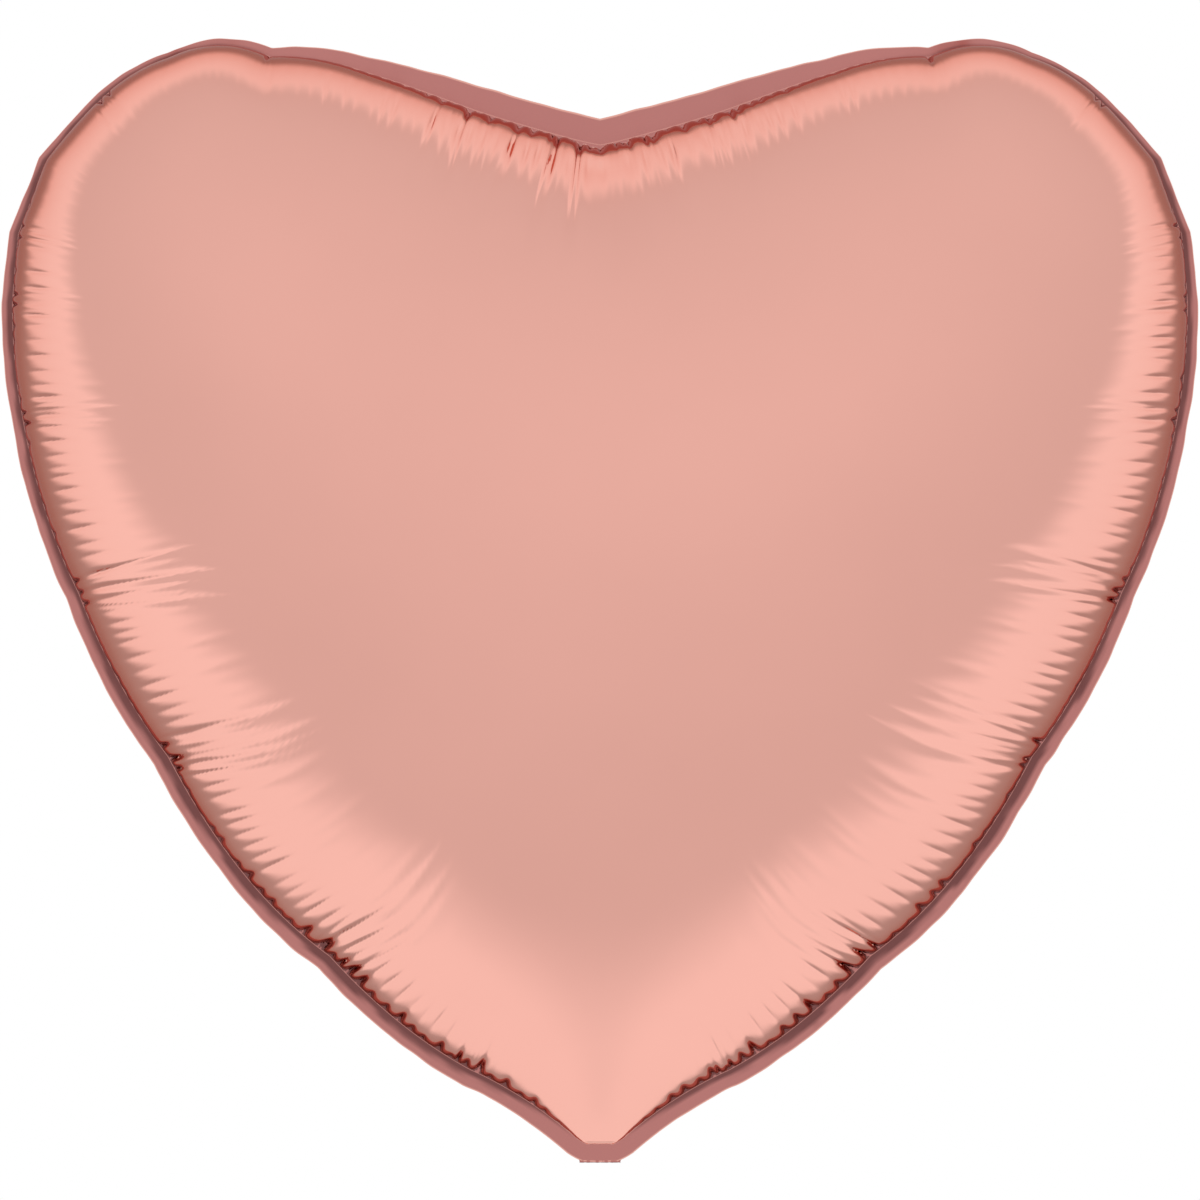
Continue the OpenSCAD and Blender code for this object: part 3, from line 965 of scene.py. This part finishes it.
def fused_sealant(colours):
    """Polyethylene sealant, melted and set again in the weld: clear, glossy and a little wavy."""
    material, tree = new_material("fused polyethylene sealant")
    place = add_node(tree, "ShaderNodeTexCoord")
    waves = add_node(
        tree, "ShaderNodeTexNoise", {"noise_dimensions": "3D"},
        {"Vector": place.outputs["Object"], "Scale": SEALANT_WAVES, "Detail": 1.0},
    )
    swelled = add_node(
        tree, "ShaderNodeBump",
        inputs={"Strength": 0.6, "Distance": 0.05 * MM, "Height": waves.outputs[0]},
    )
    tint = add_node(
        tree, "ShaderNodeMix", {"data_type": "RGBA"},
        {"Factor": waves.outputs[0], 6: tuple(colours.polyethylene), 7: linear("#EBD9D2")},
    )
    shader = add_node(
        tree, "ShaderNodeBsdfPrincipled",
        inputs={"Base Color": tint.outputs[2], "Roughness": 0.22, "IOR": 1.51,
                "Normal": swelled.outputs[0]},
    )
    finish_material(tree, shader)
    return material


def release_ink(colours):
    """Heat-resistant release ink: flat, matt and slightly broken, as printed by a screen."""
    material, tree = new_material("screen-printed release ink")
    place = add_node(tree, "ShaderNodeTexCoord")
    grain = add_node(
        tree, "ShaderNodeTexNoise", {"noise_dimensions": "3D"},
        {"Vector": place.outputs["Object"], "Scale": INK_GRAIN, "Detail": 2.0},
    )
    tint = add_node(
        tree, "ShaderNodeMix", {"data_type": "RGBA"},
        {"Factor": grain.outputs[0], 6: tuple(colours.release_print), 7: linear("#A9B2BD")},
    )
    shader = add_node(
        tree, "ShaderNodeBsdfPrincipled",
        inputs={"Base Color": tint.outputs[2], "Roughness": 0.75},
    )
    finish_material(tree, shader)
    return material


def material_for(name, make):
    """The material of this key, made once and shared by the pieces that have it."""
    key = "balloon_" + name
    kept = bpy.context.scene.get(key)
    if kept is None:
        kept = make()
        bpy.context.scene[key] = kept
    return kept


# ---- Operators ----


def dress(node_name, material):
    """Gives a CAD node's object this material in all its slots."""
    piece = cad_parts[node_name]
    if not piece.material_slots:
        piece.data.materials.append(material)
    for slot in piece.material_slots:
        slot.material = material


class BALLOON_OT_films(bpy.types.Operator):
    """Adds the front and back films, puckered along their welded rim, and the fused seam"""

    bl_idname = "balloon.films"
    bl_label = "Front and back films"

    def execute(self, context):
        sizes, colours = context.scene.balloon_sizes, context.scene.balloon_colours
        foil = material_for("foil", lambda: metallised_film(colours, sizes))
        shape = Shape(sizes)
        for name, node, side, seed in (
            ("front_film", "front_panel", -1, 3),
            ("back_film", "back_panel", 1, 8),
        ):
            piece = film_piece(name, shape, side, seed, sizes)
            piece.data.materials.append(foil)
            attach(piece, "envelope")
            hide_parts(node)
        seam = seam_piece("fused_seam", shape)
        seam.data.materials.append(material_for("sealant", lambda: fused_sealant(colours)))
        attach(seam, "envelope")
        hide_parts("seam_weld")
        return {"FINISHED"}


class BALLOON_OT_valve(bpy.types.Operator):
    """Gives the valve inside the neck its films, welds and print"""

    bl_idname = "balloon.valve"
    bl_label = "Valve"

    def execute(self, context):
        colours = context.scene.balloon_colours
        clear = material_for("clear", lambda: polyethylene_film(colours))
        dress("valve_front_film", clear)
        dress("valve_back_film", clear)
        dress("valve_edge_welds", material_for("sealant", lambda: fused_sealant(colours)))
        dress("valve_release_print", material_for("ink", lambda: release_ink(colours)))
        return {"FINISHED"}


class BALLOON_OT_tail(bpy.types.Operator):
    """Adds the fill tail, creased at the tip and folded up behind it"""

    bl_idname = "balloon.tail"
    bl_label = "Fill tail"

    def execute(self, context):
        sizes, colours = context.scene.balloon_sizes, context.scene.balloon_colours
        foil = material_for("foil", lambda: metallised_film(colours, sizes))
        sealant = material_for("sealant", lambda: fused_sealant(colours))
        tail = Tail()
        thickness = sizes.film_thickness / MM
        gap = SEAM_HIGH[1] / MM
        middle = gap + thickness / 2
        seal = SEAL_SHARE * gap
        both = (TIE_HOLE, FILL_HOLE)
        layers = (
            ("tail_front_skin", "tail_front_film", -middle, thickness, (TIE_HOLE,), foil, "foil"),
            ("tail_back_skin", "tail_back_film", middle, thickness, both, foil, "foil"),
            ("tail_seal", "tail_weld", 0.0, seal, (TIE_HOLE,), sealant, "sealant"),
        )
        for name, node, offset, thick, holes, material, slot in layers:
            is_film = slot == "foil"
            piece = tail.sheet(name, offset, thick, holes, is_film)
            piece.data.materials.append(material)
            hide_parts(node)
            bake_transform(piece)
        return {"FINISHED"}


# Plain soft studio light, in neutral greys: a broad fill behind the camera, which dims towards
# its edge, then a ring of soft boxes round the balloon, tilted upwards, and a dimmer room behind.
FILL, FILL_EDGE, RING, ROOM = 1.0, 0.9, 1.2, 0.6
RING_FROM, RING_TO = 100, 120      # degrees away from the camera's axis
RING_FADE = 15                     # degrees over which the ring fades at either edge
RING_TILT = 25                     # degrees by which it lies further back overhead than level
BRIGHTEST = 1.2                    # the ramp holds shares of this
EXPOSURE = 0.90                    # strength of the light as a whole


class BALLOON_OT_studio(bpy.types.Operator):
    """Adds the camera, the soft light all round and the pale floor"""

    bl_idname = "balloon.studio"
    bl_label = "Studio"

    # In metres: the width that the camera sees at the balloon, and the places in the studio.
    VIEW_WIDTH = 0.381
    CAMERA_DISTANCE = 2.0
    FLOOR_DROP = 0.35
    FLOOR_RADIUS = 3.0

    def execute(self, context):
        scene = context.scene
        middle = (PANEL_LOW[2] + PANEL_HIGH[2]) / 2
        camera = bpy.data.cameras.new("camera")
        camera.lens = camera.sensor_width * self.CAMERA_DISTANCE / self.VIEW_WIDTH
        eye = bpy.data.objects.new("camera", camera)
        eye.location = (0, -self.CAMERA_DISTANCE, middle)
        eye.rotation_euler = (math.radians(90), 0, 0)
        scene.collection.objects.link(eye)
        scene.camera = eye
        scene.view_settings.view_transform = "Standard"

        bm = bmesh.new()
        bmesh.ops.create_circle(bm, cap_ends=True, segments=96, radius=self.FLOOR_RADIUS)
        bmesh.ops.translate(bm, verts=bm.verts, vec=(0, 0, -self.FLOOR_DROP))
        mesh = bpy.data.meshes.new("floor")
        bm.to_mesh(mesh)
        bm.free()
        floor = bpy.data.objects.new("floor", mesh)
        scene.collection.objects.link(floor)
        floor.visible_glossy = False
        material, tree = new_material("pale studio floor")
        shader = add_node(
            tree, "ShaderNodeBsdfPrincipled",
            inputs={"Base Color": tuple(scene.balloon_colours.floor), "Roughness": 0.9},
        )
        finish_material(tree, shader)
        mesh.materials.append(material)
        self.light(scene)
        return {"FINISHED"}

    def light(self, scene):
        """The studio's light by direction, and plain white where the camera looks past."""
        world = bpy.data.worlds.new("studio")
        scene.world = world
        world.use_nodes = True
        tree = world.node_tree
        tree.nodes.clear()

        def maths(operation, *values):
            inputs = dict(enumerate(values))
            return add_node(tree, "ShaderNodeMath", {"operation": operation}, inputs).outputs[0]

        place = add_node(tree, "ShaderNodeTexCoord")
        way = add_node(tree, "ShaderNodeSeparateXYZ", inputs={0: place.outputs["Generated"]})
        _, y, z = way.outputs
        share = maths("DIVIDE", maths("ARCCOSINE", maths("MULTIPLY", y, -1.0)), math.pi)
        tilted = maths("SUBTRACT", share, maths("MULTIPLY", z, RING_TILT / 180))
        light = self.ramp(tree, tilted, (
            (0, FILL), (RING_FROM - RING_FADE, FILL_EDGE), (RING_FROM, RING),
            (RING_TO, RING), (RING_TO + RING_FADE, ROOM), (180, ROOM),
        ))
        lit = add_node(
            tree, "ShaderNodeBackground", inputs={"Color": light, "Strength": BRIGHTEST * EXPOSURE}
        )
        white = add_node(
            tree, "ShaderNodeBackground", inputs={"Color": (1, 1, 1, 1), "Strength": 1.0}
        )
        path = add_node(tree, "ShaderNodeLightPath")
        mixed = add_node(
            tree, "ShaderNodeMixShader",
            inputs={0: path.outputs["Is Camera Ray"], 1: lit.outputs[0], 2: white.outputs[0]},
        )
        add_node(tree, "ShaderNodeOutputWorld", inputs={"Surface": mixed.outputs[0]})

    @staticmethod
    def ramp(tree, share, stops):
        """A grey ramp over the angle from the camera, as shares of the brightest light."""
        node = add_node(tree, "ShaderNodeValToRGB", inputs={0: share})
        elements = node.color_ramp.elements
        while len(elements) < len(stops):
            elements.new(0.5)
        node.color_ramp.interpolation = "EASE"
        for element, (degrees, level) in zip(elements, stops):
            element.position = degrees / 180
        for element, (degrees, level) in zip(elements, stops):
            element.color = (level / BRIGHTEST,) * 3 + (1,)
        return node.outputs[0]


class BALLOON_PT_panel(bpy.types.Panel):
    """Lists the balloon's sizes, colours and pieces"""

    bl_label = "Foil Balloon"
    bl_idname = "BALLOON_PT_panel"
    bl_space_type = "VIEW_3D"
    bl_region_type = "UI"
    bl_category = "Foil Balloon"

    def draw(self, context):
        column = self.layout.column()
        for group in (context.scene.balloon_sizes, context.scene.balloon_colours):
            for name in type(group).__annotations__:
                column.prop(group, name)
        for piece in PIECES:
            column.operator(piece.bl_idname)


PIECES = (BALLOON_OT_studio, BALLOON_OT_films, BALLOON_OT_valve, BALLOON_OT_tail)
GROUPS = (BalloonSizes, BalloonColours)


def register():
    for cls in (*GROUPS, *PIECES, BALLOON_PT_panel):
        bpy.utils.register_class(cls)
    bpy.types.Scene.balloon_sizes = PointerProperty(type=BalloonSizes)
    bpy.types.Scene.balloon_colours = PointerProperty(type=BalloonColours)


def unregister():
    del bpy.types.Scene.balloon_colours
    del bpy.types.Scene.balloon_sizes
    for cls in reversed((*GROUPS, *PIECES, BALLOON_PT_panel)):
        bpy.utils.unregister_class(cls)


def main():
    register()
    bpy.ops.balloon.studio()
    bpy.ops.balloon.films()
    bpy.ops.balloon.valve()
    bpy.ops.balloon.tail()


if __name__ == "__main__":
    main()
